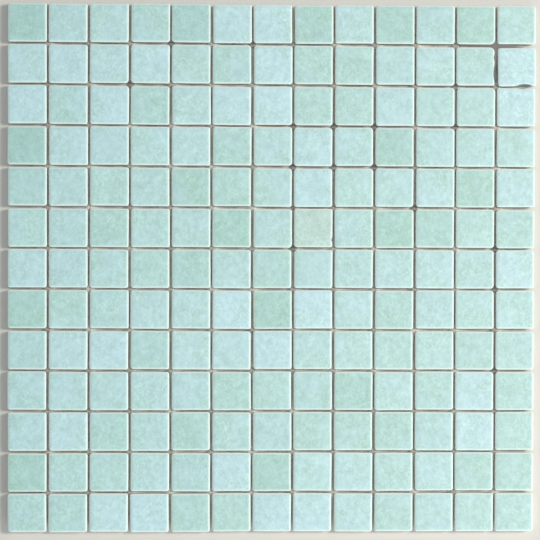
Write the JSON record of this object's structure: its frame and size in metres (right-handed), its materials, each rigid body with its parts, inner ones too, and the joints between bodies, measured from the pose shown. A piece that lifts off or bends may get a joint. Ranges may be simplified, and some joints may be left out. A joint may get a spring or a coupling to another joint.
{
  "type": "mosaic tile sheet",
  "caption": "Square sheet of small square glass mosaic tiles with open joints, held together by glue dots at the joint crossings, for bedding on a wall or pool.",
  "frame": {"origin": "centre of the sheet, on the plane that its glue dots rest on", "axes": "+Z out of the tiles' fronts, +X along a row, +Y along a column towards row 1"},
  "size_m": [0.3329, 0.333, 0.0048],
  "materials": {
    "tile_glass": "satin",
    "glue": "matte"
  },
  "bodies": {
    "root": {"tile_row_01": "tile_glass", "tile_row_02": "tile_glass", "tile_row_03": "tile_glass", "tile_row_04": "tile_glass", "tile_row_05": "tile_glass", "tile_row_06": "tile_glass", "tile_row_07": "tile_glass", "tile_row_08": "tile_glass", "tile_row_09": "tile_glass", "tile_row_10": "tile_glass", "tile_row_11": "tile_glass", "tile_row_12": "tile_glass", "tile_row_13": "tile_glass", "glue_dots_row_01": "glue", "glue_dots_row_02": "glue", "glue_dots_row_03": "glue", "glue_dots_row_04": "glue", "glue_dots_row_05": "glue", "glue_dots_row_06": "glue", "glue_dots_row_07": "glue", "glue_dots_row_08": "glue", "glue_dots_row_09": "glue", "glue_dots_row_10": "glue", "glue_dots_row_11": "glue", "glue_dots_row_12": "glue"}
  },
  "joints": []
}
